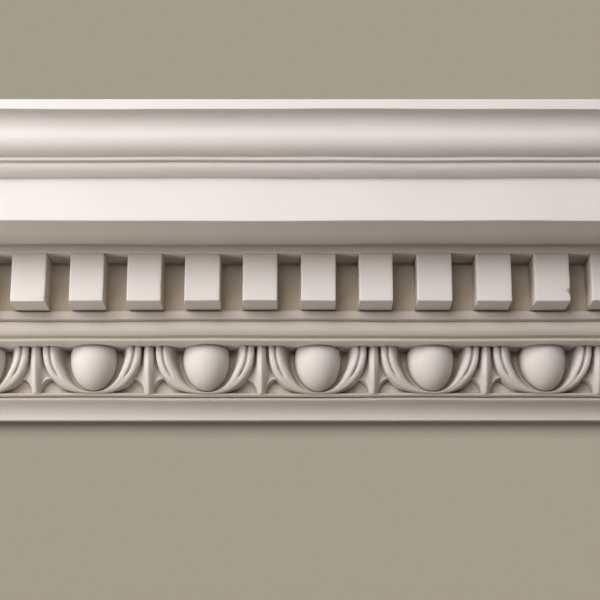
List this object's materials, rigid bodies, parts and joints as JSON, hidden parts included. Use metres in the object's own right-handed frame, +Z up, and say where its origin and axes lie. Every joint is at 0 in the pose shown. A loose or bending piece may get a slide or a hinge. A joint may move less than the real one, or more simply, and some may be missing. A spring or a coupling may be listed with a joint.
{
  "type": "enriched cornice moulding section",
  "caption": "Straight length of cast plaster cornice with dentils and an egg-and-dart band, for bedding into the angle of a wall and a ceiling.",
  "frame": {"origin": "on the wall line under the lowest edge, at the middle of the length", "axes": "+X along the length to the right as seen from the room, +Y into the wall, +Z up; the carved face looks to -Y"},
  "size_m": [0.552, 0.1924, 0.2071],
  "materials": {
    "cast_plaster": "matt cast plaster, warm white, dry and unpainted"
  },
  "bodies": {
    "root": {"cornice": "cast_plaster"}
  },
  "joints": []
}
